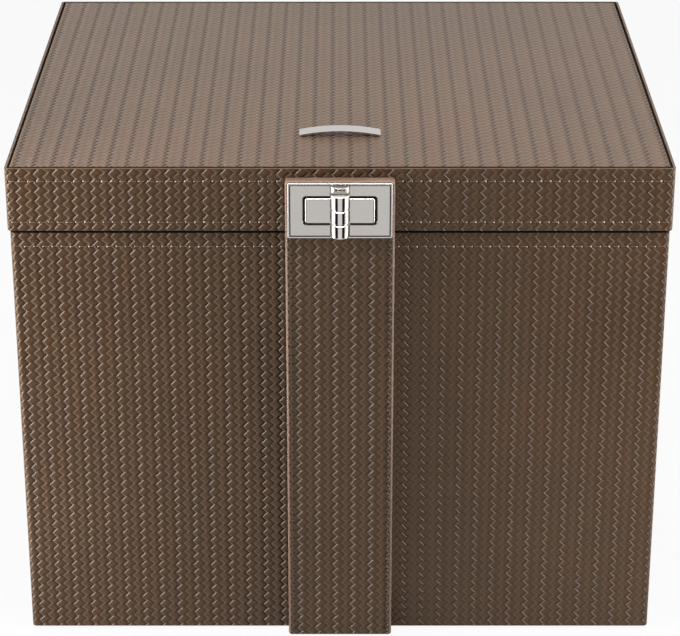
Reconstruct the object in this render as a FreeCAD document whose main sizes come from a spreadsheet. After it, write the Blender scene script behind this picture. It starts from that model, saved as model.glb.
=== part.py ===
import FreeCAD, Part
import math
import os
import Sketcher

# A jewellery case with a rear-hinged lid, two front doors under a strap with a turn lock, and three drawers.
# Millimetres. The origin is the centre of the underside, X points right, the front faces -Y, Z points up.

os.makedirs("parts", exist_ok=True)
doc = FreeCAD.newDocument("jewelry_case")
sheet = doc.addObject("Spreadsheet::Sheet", "Sizes")

given = {
    # outside of the case
    "lid_width": 310,
    "lid_depth": 263,
    "lid_height": 31.8,
    "lid_gap": 0.8,
    "overhang": 1,
    "body_height": 214.4,
    "corner_radius": 2,
    # sheet goods
    "leather": 0.8,
    "band_leather": 1.1,
    "board": 8,
    "felt": 1.5,
    "felt_inset": 2,
    "lining": 0.8,
    # lid panel and mirror
    "panel_board": 6,
    "side_groove": 1.2,
    "front_groove": 0.7,
    "panel_rounding": 0.6,
    "mirror_width": 196,
    "mirror_depth": 150,
    "mirror_glass": 3,
    "mirror_frame_width": 12,
    "mirror_frame_height": 5,
    "mirror_rebate": 2,
    # upper tray
    "tray_depth": 42.4,
    "deck": 5,
    "partition": 3,
    "partition_height": 38,
    "column_half": 48,
    "ring_bay": 130,
    "roll_height": 30,
    "roll_gap": 0.3,
    "roll_rounding": 7,
    "roll_end": 5,
    "roll_draw_in": 0.7,
    # drawers and side bays
    "drawer_half": 96,
    "drawer_side_gap": 0.6,
    "drawer_run_gap": 0.3,
    "drawer_head_gap": 0.7,
    "drawer_setback": 12.7,
    "drawer_tail": 3.7,
    "drawer_front": 7,
    "drawer_board": 5,
    "drawer_bottom": 3,
    "drawer_drop": 4,
    "insert_partition": 2.4,
    "insert_drop": 6,
    "divider": 5,
    "shelf": 3.2,
    "pull_radius": 6,
    "pull_neck": 2.6,
    "pull_reach": 10,
    "pull_head": 4,
    "pull_screw": 1.5,
    # necklace pegs
    "peg_stem": 1.4,
    "peg_ball": 3.2,
    "peg_flange": 4,
    "peg_flange_depth": 1.2,
    "peg_reach": 20,
    "peg_dowel": 5,
    "peg_drop": 16,
    "peg_first": 24,
    "peg_pitch": 42,
    # doors
    "door_thickness": 9,
    "door_low": 1.5,
    "door_meeting": 1,
    "door_lining_inset": 3,
    # hinges
    "leaf": 0.6,
    "leaf_gap": 0.2,
    "leaf_width": 6,
    "knuckle": 1.6,
    "knuckle_gap": 0.2,
    "knuckle_inset": 0.1,
    "pin": 0.8,
    "pin_clearance": 0.05,
    "sweep_clearance": 0.5,
    "door_hinge_inset": 5,
    "lid_hinge_inset": 12,
    "screw_head": 1.5,
    "screw_shank": 0.8,
    "screw_length": 7,
    "screw_inset": 10,
    # strap and turn lock
    "strap_width": 51,
    "strap_thickness": 5.8,
    "strap_gap": 0.3,
    "strap_low": 0.5,
    "strap_drop": 4.8,
    "strap_rounding": 1.5,
    "strap_corner": 3,
    "strap_screw": 1.3,
    "strap_screw_head": 3,
    "spacer_inset": 3,
    "spacer_margin": 6,
    "plate_width": 48.5,
    "plate_height": 27.2,
    "plate_thickness": 1.4,
    "plate_bevel": 0.8,
    "plate_drop": 18.6,
    "window_width": 34,
    "window_height": 14.2,
    "rivet": 1.1,
    "rivet_inset": 4,
    "turret_width": 32.5,
    "turret_height": 12.5,
    "turret_proud": 0.2,
    "turret_edge": 1,
    "turret_stud": 1.2,
    "turret_stud_inset": 5,
    "knob_radius": 4.6,
    "knob_length": 20.6,
    "knob_stand": 5.2,
    "knob_edge": 0.6,
    "knob_groove": 0.5,
    "knob_groove_width": 0.9,
    "spindle": 2,
    "spindle_clearance": 0.1,
    "nut_radius": 4.5,
    "nut_thickness": 3,
    "nut_gap": 0.2,
    # badge on the lid
    "badge_length": 38.8,
    "badge_width": 8.4,
    "badge_thickness": 0.8,
    "badge_bow": 2,
    "badge_setback": 46,
    "badge_pin": 0.7,
    "badge_pin_depth": 3,
    "badge_pin_inset": 3,
}

PEGS = 5
ROLLS = 8
LOWER_COLUMNS = 1
MIDDLE_COLUMNS = 2
UPPER_COLUMNS = 4
# Each drawer, from the lowest up, with the number of its columns.
DRAWERS = (("lower", LOWER_COLUMNS), ("middle", MIDDLE_COLUMNS), ("upper", UPPER_COLUMNS))
KNUCKLES = 5
KNOB_GROOVES = 2
STRAP_SCREWS = 4


class Size:
    # A length with its formula in the words of the sheet and its value now.
    def __init__(self, text, value):
        self.text = text
        self.value = value

    def join(self, sign, other, value):
        return Size(f"({self.text} {sign} {other.text})", value)

    def __add__(self, other):
        other = size_of(other)
        return self.join("+", other, self.value + other.value)

    def __sub__(self, other):
        other = size_of(other)
        return self.join("-", other, self.value - other.value)

    def __mul__(self, other):
        other = size_of(other)
        return self.join("*", other, self.value * other.value)

    def __truediv__(self, other):
        other = size_of(other)
        return self.join("/", other, self.value / other.value)

    def __neg__(self):
        return Size(f"(0 - {self.text})", -self.value)


def size_of(number):
    return number if isinstance(number, Size) else Size(repr(float(number)), float(number))


def root(length):
    return Size(f"sqrt({length.text})", math.sqrt(length.value))


class Words:
    # The sheet's cells by their alias.
    pass


s = Words()
for row, (word, number) in enumerate(given.items(), start=1):
    sheet.set(f"A{row}", word)
    sheet.set(f"B{row}", str(number))
    sheet.setAlias(f"B{row}", word)
    setattr(s, word, Size(f"Sizes.{word}", float(number)))
doc.recompute()

nodes = {}


def bind(thing, **lengths):
    for name, length in lengths.items():
        thing.setExpression(name, size_of(length).text)


def place(thing, x=0, y=0, z=0):
    for axis, length in zip("xyz", (x, y, z)):
        thing.setExpression(f"Placement.Base.{axis}", size_of(length).text)


def turn(thing, axis, degrees):
    thing.Placement.Rotation = FreeCAD.Rotation(FreeCAD.Vector(*axis), degrees)


def named(thing, label):
    thing.Label = label
    nodes[label] = thing
    return thing


def slab(name, x, y, z):
    box = doc.addObject("Part::Box", name)
    (x0, x1), (y0, y1), (z0, z1) = (map(size_of, pair) for pair in (x, y, z))
    bind(box, Length=x1 - x0, Width=y1 - y0, Height=z1 - z0)
    place(box, x0, y0, z0)
    return box


def rod(name, axis, radius, low, high, at):
    # A cylinder along X, Y or Z from low to high, at two coordinates in the order of the other two axes.
    cylinder = doc.addObject("Part::Cylinder", name)
    low, high = size_of(low), size_of(high)
    bind(cylinder, Radius=radius, Height=high - low)
    turns = {"x": ((0, 1, 0), 90), "y": ((1, 0, 0), -90), "z": ((0, 0, 1), 0)}
    turn(cylinder, *turns[axis])
    first, second = at
    spots = {"x": (low, first, second), "y": (first, low, second), "z": (first, second, low)}
    place(cylinder, *spots[axis])
    return cylinder


def fuse(name, *things):
    joined = doc.addObject("Part::MultiFuse", name)
    joined.Shapes = list(things)
    return joined


def group(name, *things):
    together = doc.addObject("Part::Compound", name)
    together.Links = list(things)
    return together


def cut(name, base, *tools):
    result = doc.addObject("Part::Cut", name)
    result.Base = base
    result.Tool = tools[0] if len(tools) == 1 else group(name + "_tools", *tools)
    return result


def rounded(name, base, radius, wanted):
    # Rounds each edge of the base whose centre and direction are wanted.
    doc.recompute()
    result = doc.addObject("Part::Fillet", name)
    result.Base = base
    result.Edges = [
        (number, size_of(radius).value, size_of(radius).value)
        for number, edge in enumerate(base.Shape.Edges, start=1)
        if wanted(edge.CenterOfMass, edge.tangentAt(edge.FirstParameter))
    ]
    return result


def span(side, near, far):
    # A stretch across X on the right (1), or its mirror image on the left (-1).
    return (near, far) if side > 0 else (-size_of(far), -size_of(near))


def front_sketch(body, name):
    drawn = body.newObject("Sketcher::SketchObject", name)
    plane = next(item for item in body.Origin.OriginFeatures if item.Role == "XZ_Plane")
    drawn.AttachmentSupport = [(plane, "")]
    drawn.MapMode = "FlatFace"
    return drawn


def polygon(drawn, corners):
    # A closed run of straight lines, with every corner tied to its formula.
    first = drawn.GeometryCount
    count = len(corners)
    corners = [(size_of(across), size_of(up)) for across, up in corners]
    for index, start in enumerate(corners):
        end = corners[(index + 1) % count]
        ends = [FreeCAD.Vector(across.value, up.value, 0) for across, up in (start, end)]
        drawn.addGeometry(Part.LineSegment(*ends), False)
    for index, (across, up) in enumerate(corners):
        line = first + index
        following = first + (index + 1) % count
        drawn.addConstraint(Sketcher.Constraint("Coincident", line, 2, following, 1))
        for kind, length, axis in (("DistanceX", across, -2), ("DistanceY", up, -1)):
            if length.value == 0:
                drawn.addConstraint(Sketcher.Constraint("PointOnObject", line, 1, axis))
                continue
            at = drawn.addConstraint(Sketcher.Constraint(kind, -1, 1, line, 1, length.value))
            drawn.setExpression(f"Constraints[{at}]", length.text)


def turned(name, corners):
    # A body of revolution about its own Z, from a half profile in X and Z.
    body = doc.addObject("PartDesign::Body", name)
    drawn = front_sketch(body, name + "_profile")
    polygon(drawn, corners)
    solid = body.newObject("PartDesign::Revolution", name + "_turning")
    solid.Profile = drawn
    solid.ReferenceAxis = (drawn, ["V_Axis"])
    solid.Angle = 360
    body.Tip = solid
    return body


def plate(name, corners, thickness, hole=None):
    # A flat body that stands on its own XZ plane and rises towards -Y, with an optional hole.
    body = doc.addObject("PartDesign::Body", name)
    drawn = front_sketch(body, name + "_outline")
    polygon(drawn, corners)
    if hole:
        polygon(drawn, hole)
    pad = body.newObject("PartDesign::Pad", name + "_pad")
    pad.Profile = drawn
    bind(pad, Length=thickness)
    body.Tip = pad
    return body, pad


def rectangle(width, height):
    across, up = width / 2, height / 2
    return [(-across, -up), (across, -up), (across, up), (-across, up)]


# Planes that everything shares.
lid_half = s.lid_width / 2
lid_front = -(s.lid_depth / 2)
lid_rear = s.lid_depth / 2
lid_bottom = s.body_height + s.lid_gap
lid_top = lid_bottom + s.lid_height
strap_top = lid_top - s.strap_drop
plate_middle = lid_top - s.plate_drop
body_half = lid_half - s.overhang
door_front = lid_front + s.overhang
body_rear = lid_rear - s.overhang
leaf_room = s.leaf * 2 + s.leaf_gap
door_back = door_front + s.door_thickness
case_front = door_back + leaf_room

board_out = body_half - s.leather
board_in = board_out - s.board
board_front = case_front + s.leather
board_rear = body_rear - s.leather
inner_rear = board_rear - s.board
base_top = s.felt + s.board
rim_under = s.body_height - s.leather
deck_top = s.body_height - s.tray_depth - s.lining
deck_under = deck_top - s.deck
rail_back = board_front + s.board

# Hinge lines. A turning corner stays inside its reach from the pin, so the fixed side is cut back that far.
door_axis_x = body_half - s.knuckle - s.knuckle_inset
door_axis_y = door_back + leaf_room / 2
lid_axis_y = lid_rear - s.knuckle - s.knuckle_inset
lid_axis_z = s.body_height + s.lid_gap / 2
moving_cut = s.knuckle + s.sweep_clearance
corner_out = s.knuckle + s.knuckle_inset
fixed_cut = root(corner_out * corner_out + moving_cut * moving_cut) + s.leaf_gap
barrel_room = s.knuckle + s.sweep_clearance


def door_rebates(name, side, fixed):
    # The step along a front corner that the door's knuckles and turning edge need.
    low, high = (door_axis_y - moving_cut, door_axis_y + fixed_cut)
    near = door_axis_x - barrel_room
    reach = (door_axis_y - moving_cut * 2, high) if fixed else (low, door_axis_y + moving_cut * 2)
    return slab(name, span(side, near, body_half + s.overhang), reach, (0, lid_bottom))


def lid_rebate(name, fixed):
    high = lid_axis_z + moving_cut
    low = lid_axis_z - fixed_cut
    reach = (low, lid_axis_z + moving_cut * 2) if fixed else (lid_axis_z - moving_cut * 2, high)
    across = (-lid_half - s.overhang, lid_half + s.overhang)
    return slab(name, across, (lid_axis_y - barrel_room, lid_rear + s.overhang), reach)


def screw(name, axis, face, sign, at, head, shank, length, head_depth):
    # A countersunk screw whose flat head lies in the face and whose shank runs the way of sign.
    cone = doc.addObject("Part::Cone", name + "_head")
    wide, narrow = size_of(head), size_of(shank)
    face = size_of(face)
    forward = sign > 0
    bind(cone, Radius1=wide if forward else narrow, Radius2=narrow if forward else wide, Height=head_depth)
    start = face if forward else face - head_depth
    turns = {"y": ((1, 0, 0), -90), "z": ((0, 0, 1), 0)}
    turn(cone, *turns[axis])
    first, second = at
    place(cone, *((first, start, second) if axis == "y" else (first, second, start)))
    ends = (face, face + length) if forward else (face - length, face)
    return fuse(name, cone, rod(name + "_shank", axis, shank, *ends, at))


def knuckle_runs(low, high, first):
    # The stretches of one leaf's knuckles, which alternate with the other leaf's.
    pitch = (high - low) / KNUCKLES
    half_gap = s.knuckle_gap / 2
    return [
        (low + pitch * index + half_gap, low + pitch * (index + 1) - half_gap)
        for index in range(first, KNUCKLES, 2)
    ]


def door_leaf(name, side, y, first):
    # A door hinge leaf: its plate, the tabs that reach the pin, and its bored knuckles.
    low, high = s.door_low + s.door_hinge_inset, s.body_height - s.door_hinge_inset
    edge = door_axis_x - s.knuckle - s.knuckle_gap
    pieces = [slab(name + "_flat", span(side, edge - s.leaf_width, edge), y, (low, high))]
    pin_x = door_axis_x * side
    for run in knuckle_runs(low, high, first):
        pieces.append(slab(name + "_tab", span(side, edge, door_axis_x), y, run))
        pieces.append(rod(name + "_knuckle", "z", s.knuckle, *run, (pin_x, door_axis_y)))
    bore = rod(name + "_bore", "z", s.pin + s.pin_clearance, low, high, (pin_x, door_axis_y))
    return cut(name + "_bored", fuse(name + "_leaf", *pieces), bore)


def lid_leaf(name, z, first):
    low, high = s.lid_hinge_inset - lid_half, lid_half - s.lid_hinge_inset
    edge = lid_axis_y - s.knuckle - s.knuckle_gap
    pieces = [slab(name + "_flat", (low, high), (edge - s.leaf_width, edge), z)]
    for run in knuckle_runs(low, high, first):
        pieces.append(slab(name + "_tab", run, (edge, lid_axis_y), z))
        pieces.append(rod(name + "_knuckle", "x", s.knuckle, *run, (lid_axis_y, lid_axis_z)))
    bore = rod(name + "_bore", "x", s.pin + s.pin_clearance, low, high, (lid_axis_y, lid_axis_z))
    return cut(name + "_bored", fuse(name + "_leaf", *pieces), bore)


def door_screws(name, side, face, sign):
    low, high = s.door_low + s.door_hinge_inset, s.body_height - s.door_hinge_inset
    at_x = (door_axis_x - s.knuckle - s.knuckle_gap - s.leaf_width / 2) * side
    heights = (low + s.screw_inset, (low + high) / 2, high - s.screw_inset)
    return [
        screw(f"{name}_{index}", "y", face, sign, (at_x, height), s.screw_head, s.screw_shank,
              s.screw_length, s.leaf)
        for index, height in enumerate(heights)
    ]


def lid_screws(name, face, sign):
    low = s.lid_hinge_inset - lid_half
    at_y = lid_axis_y - s.knuckle - s.knuckle_gap - s.leaf_width / 2
    spots = (low + s.screw_inset, Size("0.0", 0.0), -low - s.screw_inset)
    return [
        screw(f"{name}_{index}", "z", face, sign, (across, at_y), s.screw_head, s.screw_shank,
              s.screw_length, s.leaf)
        for index, across in enumerate(spots)
    ]


case_leaf_y = (case_front - s.leaf, case_front)
door_leaf_y = (door_back, door_back + s.leaf)
case_leaf_z = (lid_axis_z - s.leaf_gap / 2 - s.leaf, lid_axis_z - s.leaf_gap / 2)
lid_leaf_z = (lid_axis_z + s.leaf_gap / 2, lid_axis_z + s.leaf_gap / 2 + s.leaf)
leaf_edge_y = lid_axis_y - s.knuckle - s.knuckle_gap - s.leaf_width
leaf_reach = (s.lid_hinge_inset - lid_half, lid_half - s.lid_hinge_inset)

case_side_screws = {side: door_screws(f"case_screw_{side}", side, case_leaf_y[0], 1) for side in (-1, 1)}
case_lid_screws = lid_screws("case_lid_screw", case_leaf_z[1], -1)
lid_leaf_screws = lid_screws("lid_screw", lid_leaf_z[0], 1)
case_screws = case_side_screws[-1] + case_side_screws[1] + case_lid_screws

# Fixed hinge halves, their pins and the screws that hold them.
case_leaves = [
    cut(f"case_leaf_{side}", door_leaf(f"case_leaf_{side}", side, case_leaf_y, 0), *case_side_screws[side])
    for side in (-1, 1)
]
named(group("door_hinge_case_leaves", *case_leaves), "door_hinge_case_leaves")
pin_ends = (s.door_low + s.door_hinge_inset, s.body_height - s.door_hinge_inset)
door_pins = [
    rod(f"door_pin_{side}", "z", s.pin, *pin_ends, (door_axis_x * side, door_axis_y)) for side in (-1, 1)
]
named(group("door_hinge_pins", *door_pins), "door_hinge_pins")
named(cut("lid_case_leaf", lid_leaf("lid_case_leaf", case_leaf_z, 0), *case_lid_screws), "lid_hinge_case_leaf")
named(rod("lid_pin", "x", s.pin, *leaf_reach, (lid_axis_y, lid_axis_z)), "lid_hinge_pin")
named(group("case_hinge_screws", *case_screws), "case_hinge_screws")

# Carcass boards.
base = slab("base", (-board_out, board_out), (board_front, board_rear), (s.felt, base_top))
base_rebates = [door_rebates(f"base_rebate_{side}", side, True) for side in (-1, 1)]
named(cut("base_board", base, *base_rebates), "base_board")
for side, word in ((-1, "left"), (1, "right")):
    panel = slab(word + "_side", span(side, board_in, board_out), (board_front, board_rear), (base_top, rim_under))
    rebate = door_rebates(word + "_side_rebate", side, True)
    corner = lid_rebate(word + "_side_corner", True)
    pegs = [
        rod(f"{word}_peg_hole_{index}", "x", s.peg_stem,
            *span(side, board_in, board_in + s.peg_dowel),
            (board_front + s.peg_first + s.peg_pitch * index, deck_under - s.peg_drop))
        for index in range(PEGS)
    ]
    tools = [rebate, corner, *case_side_screws[side], *pegs]
    named(cut(word + "_side_panel", panel, *tools), word + "_side_panel")
rear = slab("rear", (-board_in, board_in), (inner_rear, board_rear), (base_top, rim_under))
named(cut("rear_panel", rear, lid_rebate("rear_corner", True), *case_lid_screws), "rear_panel")
named(slab("front_rail", (-board_in, board_in), (board_front, rail_back), (deck_under, rim_under)), "front_rail")
named(slab("top_deck", (-board_in, board_in), (rail_back, inner_rear), (deck_under, deck_top)), "top_deck")

# Leatherette over the outside, the rim and the front edges of the carcass.
skin = slab("case_skin", (-body_half, body_half), (case_front, body_rear), (s.felt, s.body_height))
rear_corners = rounded(
    "case_skin_rounded", skin, s.corner_radius,
    lambda middle, along: abs(along.z) > 0.9 and middle.y > 0)
hollows = [
    slab("case_boards", (-board_out, board_out), (board_front, board_rear), (0, rim_under)),
    slab("case_mouth", (-board_in, board_in), (rail_back, inner_rear), (base_top, lid_bottom)),
    slab("case_front_mouth", (-board_in, board_in), (door_back, board_front), (base_top, deck_under)),
    slab("case_leaf_seat", leaf_reach, (leaf_edge_y, body_rear), (case_leaf_z[0], lid_bottom)),
    door_rebates("cover_left_rebate", -1, True),
    door_rebates("cover_right_rebate", 1, True),
    lid_rebate("cover_corner", True),
]
named(cut("case_cover", rear_corners, *hollows, *case_screws), "case_cover")
felt_x = board_out - s.felt_inset
felt_y = (board_front + s.felt_inset, board_rear - s.felt_inset)
named(slab("base_felt", (-felt_x, felt_x), felt_y, (0, s.felt)), "base_felt")

# Centre stack: dividers beside the drawers, and the shelves that carry the upper two.
divider_in = s.drawer_half + s.drawer_side_gap
divider_out = divider_in + s.divider
drawer_face = door_back + s.lining + s.drawer_setback
for side, word in ((-1, "left"), (1, "right")):
    across = span(side, divider_in, divider_out)
    divider = slab(word + "_divider", across, (board_front, inner_rear), (base_top, deck_under))
    named(divider, word + "_bay_divider")
shelves = len(DRAWERS) - 1
slot = (deck_under - base_top - s.shelf * shelves) / len(DRAWERS)
shelf_pieces = [
    slab(f"shelf_{index}", (-divider_in, divider_in), (drawer_face, inner_rear),
         (base_top + slot * index + s.shelf * (index - 1), base_top + (slot + s.shelf) * index))
    for index in range(1, shelves + 1)
]
named(group("drawer_shelves", *shelf_pieces), "drawer_shelves")

# Upper tray: lining, partitions and the ring rolls between the middle ones.
tray_half = board_in - s.lining
tray_front = rail_back + s.lining
tray_rear = inner_rear - s.lining
tray_floor = deck_top + s.lining
tray_walls = (tray_floor, rim_under)
tray_linings = [
    slab("tray_floor", (-board_in, board_in), (rail_back, inner_rear), (deck_top, tray_floor)),
    slab("tray_front", (-board_in, board_in), (rail_back, tray_front), tray_walls),
    slab("tray_rear", (-board_in, board_in), (tray_rear, inner_rear), tray_walls),
    slab("tray_left", (-board_in, -tray_half), (tray_front, tray_rear), tray_walls),
    slab("tray_right", (tray_half, board_in), (tray_front, tray_rear), tray_walls),
]
named(group("tray_lining", *tray_linings), "tray_lining")

half_partition = s.partition / 2
cross = tray_front + s.ring_bay
upright = (tray_floor, tray_floor + s.partition_height)
column_in = s.column_half - half_partition
column_out = s.column_half + half_partition
cross_y = (cross - half_partition, cross + half_partition)
partitions = [
    slab("partition_left", (-column_out, -column_in), (tray_front, tray_rear), upright),
    slab("partition_right", (column_in, column_out), (tray_front, tray_rear), upright),
    slab("partition_cross_left", (-tray_half, -column_out), cross_y, upright),
    slab("partition_cross", (-column_in, column_in), cross_y, upright),
    slab("partition_cross_right", (column_out, tray_half), cross_y, upright),
]
named(group("tray_partitions", *partitions), "tray_partitions")


def roll_section(x, low, high, floor, height, squeeze):
    # One upright slice of a ring roll: flat below, rounded above, drawn in by squeeze.
    low, high, height = low + squeeze, high - squeeze, height - squeeze
    turn_at = floor + height - s.roll_rounding.value
    middle = (low + high) / 2
    knee = math.sqrt(0.5)
    half = (high - low) / 2
    rise = s.roll_rounding.value
    corners = [(low, floor), (low, turn_at), (middle, floor + height), (high, turn_at), (high, floor)]
    low_foot, left, top, right, high_foot = [FreeCAD.Vector(x, across, up) for across, up in corners]
    left_knee = FreeCAD.Vector(x, middle - half * knee, turn_at + rise * knee)
    right_knee = FreeCAD.Vector(x, middle + half * knee, turn_at + rise * knee)
    edges = [
        Part.makeLine(low_foot, left),
        Part.Arc(left, left_knee, top).toShape(),
        Part.Arc(top, right_knee, right).toShape(),
        Part.makeLine(right, high_foot),
        Part.makeLine(high_foot, low_foot),
    ]
    return Part.Wire(edges)


def ring_roll(index):
    gap = s.roll_gap.value
    low_end = -column_in.value + gap
    high_end = column_in.value - gap
    start = tray_front.value + gap
    pitch = (cross_y[0].value - tray_front.value - gap) / ROLLS
    low = start + pitch * index
    high = low + pitch - gap
    floor = tray_floor.value + gap
    height = s.roll_height.value
    end, pull = s.roll_end.value, s.roll_draw_in.value
    stations = [(low_end, pull), (low_end + end, 0), (high_end - end, 0), (high_end, pull)]
    sections = [roll_section(x, low, high, floor, height, squeeze) for x, squeeze in stations]
    roll = doc.addObject("Part::Feature", f"ring_roll_{index}")
    roll.Shape = Part.makeLoft(sections, True, True)
    return roll


named(group("ring_rolls", *[ring_roll(index) for index in range(ROLLS)]), "ring_rolls")

# Side bays: lining and the pegs that necklaces hang from.
bay_linings = []
necklace_pegs = []
for side, word in ((-1, "left"), (1, "right")):
    low_z = base_top + s.lining
    floor_x = span(side, divider_out, board_in)
    wall_x = span(side, board_in - s.lining, board_in)
    back_x = span(side, divider_out, board_in - s.lining)
    bay_y = (board_front, inner_rear)
    peg_z = deck_under - s.peg_drop
    wall = slab(word + "_bay_wall", wall_x, bay_y, (low_z, deck_under))
    seats = []
    for index in range(PEGS):
        at = (board_front + s.peg_first + s.peg_pitch * index, peg_z)
        name = f"{word}_peg_{index}"
        surface = board_in - s.lining
        tip = surface - s.peg_reach
        stem = rod(name + "_stem", "x", s.peg_stem, *span(side, tip, board_in + s.peg_dowel), at)
        flange = rod(name + "_flange", "x", s.peg_flange, *span(side, surface - s.peg_flange_depth, surface), at)
        ball = doc.addObject("Part::Sphere", name + "_ball")
        bind(ball, Radius=s.peg_ball)
        # The sphere's seam faces the tip, away from the stem.
        turn(ball, (0, 0, 1), 90 + 90 * side)
        place(ball, tip * side, *at)
        necklace_pegs.append(fuse(name, stem, flange, ball))
        seats.append(rod(name + "_seat", "x", s.peg_stem, *wall_x, at))
    bay_linings += [
        slab(word + "_bay_floor", floor_x, bay_y, (base_top, low_z)),
        slab(word + "_bay_back", back_x, (inner_rear - s.lining, inner_rear), (low_z, deck_under)),
        cut(word + "_bay_wall_pierced", wall, *seats),
    ]
named(group("bay_linings", *bay_linings), "bay_linings")
named(group("necklace_pegs", *necklace_pegs), "necklace_pegs")


def drawer(level, word, columns):
    # An open box on its shelf, its lining and partitions, and a turned pull.
    low = base_top + (slot + s.shelf) * level + s.drawer_run_gap
    high = base_top + (slot + s.shelf) * level + slot - s.drawer_head_gap
    half = s.drawer_half
    back = inner_rear - s.drawer_tail
    inner = half - s.drawer_board
    front_in = drawer_face + s.drawer_front
    back_in = back - s.drawer_board
    wall_top = high - s.drawer_drop
    floor = low + s.drawer_bottom
    pull_z = (low + high) / 2
    face = slab(word + "_face", (-half, half), (drawer_face, front_in), (low, high))
    bore = rod(word + "_pull_bore", "y", s.pull_screw, drawer_face, front_in, (0, pull_z))
    boards = [
        cut(word + "_face_bored", face, bore),
        slab(word + "_bottom", (-half, half), (front_in, back), (low, floor)),
        slab(word + "_back", (-half, half), (back_in, back), (floor, wall_top)),
        slab(word + "_left", (-half, -inner), (front_in, back_in), (floor, wall_top)),
        slab(word + "_right", (inner, half), (front_in, back_in), (floor, wall_top)),
    ]
    named(group(word + "_drawer_box", *boards), word + "_drawer_box")
    lined = floor + s.lining
    insert = [slab(word + "_insert_floor", (-inner, inner), (front_in, back_in), (floor, lined))]
    insert_z = (lined, wall_top - s.insert_drop)
    half_wall = s.insert_partition / 2
    for index in range(1, columns):
        at_x = inner * (2.0 * index / columns - 1)
        walls = (at_x - half_wall, at_x + half_wall)
        insert.append(slab(f"{word}_insert_{index}", walls, (front_in, back_in), insert_z))
    named(group(word + "_drawer_lining", *insert), word + "_drawer_lining")
    neck_end = s.pull_reach - s.pull_head
    pull = turned(word + "_pull", [
        (0, -s.drawer_front), (s.pull_screw, -s.drawer_front), (s.pull_screw, 0), (s.pull_neck * 1.6, 0),
        (s.pull_neck, s.pull_neck * 0.6), (s.pull_neck, neck_end - s.pull_neck * 0.4),
        (s.pull_radius - s.pull_head / 8, neck_end), (s.pull_radius, neck_end + s.pull_head / 4),
        (s.pull_radius, s.pull_reach - s.pull_head / 4), (s.pull_radius - s.pull_head / 4, s.pull_reach),
        (0, s.pull_reach)])
    turn(pull, (1, 0, 0), 90)
    place(pull, 0, drawer_face, pull_z)
    named(pull, word + "_drawer_pull")


for level, (word, columns) in enumerate(DRAWERS):
    drawer(level, word, columns)

# Doors.
meeting = s.door_meeting / 2
door_board_in = meeting + s.leather
strap_back = lid_front - s.strap_gap
strap_face = strap_back - s.strap_thickness
core_face = strap_face + s.leather
pad_x = (meeting + s.spacer_inset, s.strap_width / 2 - s.spacer_inset)
pad_z = (s.door_low + s.spacer_margin, s.body_height - s.spacer_margin)
screw_pitch = (pad_z[1] - pad_z[0]) / STRAP_SCREWS
strap_screws = [
    screw(f"strap_screw_{index}", "y", door_back, -1,
          ((pad_x[0] + pad_x[1]) / 2, pad_z[0] + screw_pitch * (index + 0.5)),
          s.strap_screw_head, s.strap_screw, door_back - core_face - s.leather, s.strap_screw_head - s.strap_screw)
    for index in range(STRAP_SCREWS)
]
for side, word in ((-1, "left"), (1, "right")):
    holding = strap_screws if side > 0 else []
    leaf_screws = door_screws(f"{word}_door_screw", side, door_leaf_y[1], -1)
    skin = slab(word + "_door_skin", span(side, meeting, body_half), (door_front, door_back),
                (s.door_low, s.body_height))
    outer = rounded(
        word + "_door_rounded", skin, s.corner_radius,
        lambda middle, along, at=(body_half * side).value: abs(along.z) > 0.9
        and abs(middle.x - at) < 0.1 and middle.y < door_back.value - 0.1)
    inner_size = (span(side, door_board_in, board_out), (door_front + s.leather, door_back),
                  (s.door_low + s.leather, s.body_height - s.leather))
    rebate = door_rebates(word + "_door_rebate", side, False)
    wood = slab(word + "_door_wood", *inner_size)
    named(cut(word + "_door_board", wood, rebate, *leaf_screws, *holding), word + "_door_board")
    room = slab(word + "_door_room", *inner_size)
    cover_tools = [room, door_rebates(word + "_door_cover_rebate", side, False), *holding]
    named(cut(word + "_door_cover", outer, *cover_tools), word + "_door_cover")
    lining_x = span(side, meeting + s.door_lining_inset, tray_half - s.door_lining_inset)
    lining_z = (base_top + s.door_lining_inset, s.body_height - s.door_lining_inset)
    lining = slab(word + "_door_lining", lining_x, (door_back, door_back + s.lining), lining_z)
    named(lining, word + "_door_lining")
    leaf = door_leaf(word + "_door_leaf", side, door_leaf_y, 1)
    named(cut(word + "_door_hinge_leaf", leaf, *leaf_screws), word + "_door_hinge_leaf")
    named(group(word + "_door_screws", *leaf_screws), word + "_door_hinge_screws")

# Strap on the right door, which covers the meeting edges and reaches up over the lid's front.
strap_half = s.strap_width / 2
turret_low = plate_middle - s.window_height / 2
turret_high = plate_middle + s.window_height / 2
window_x = (-(s.window_width / 2), s.window_width / 2)
window = ("strap_window", window_x, (lid_front - s.strap_thickness * 2, lid_front), (turret_low, turret_high))
core_half = strap_half - s.leather
core_z = (s.strap_low + s.leather, strap_top - s.leather)
rivet_x = s.plate_width / 2 - s.rivet_inset
rivet_z = s.plate_height / 2 - s.rivet_inset
plate_back = strap_face
rivets = [
    rod(f"rivet_{index}", "y", s.rivet, plate_back, strap_back, (rivet_x * across, plate_middle + rivet_z * up))
    for index, (across, up) in enumerate(((-1, -1), (1, -1), (-1, 1), (1, 1)))
]
core = slab("core", (-core_half, core_half), (core_face, strap_back), core_z)
named(cut("strap_core", core, slab(*window), *rivets, *strap_screws), "strap_core")
strap_skin = slab("strap_skin", (-strap_half, strap_half), (strap_face, strap_back), (s.strap_low, strap_top))
strap_foot = rounded(
    "strap_foot", strap_skin, s.strap_corner - s.strap_rounding,
    lambda middle, along: abs(along.y) > 0.9)
strap_round = rounded(
    "strap_round", strap_foot, s.strap_rounding,
    lambda middle, along: abs(middle.y - strap_face.value) < 0.01)
core_room = slab("core_room", (-core_half, core_half), (core_face, strap_back), core_z)
cover_window = slab("cover_window", *window[1:])
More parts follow.
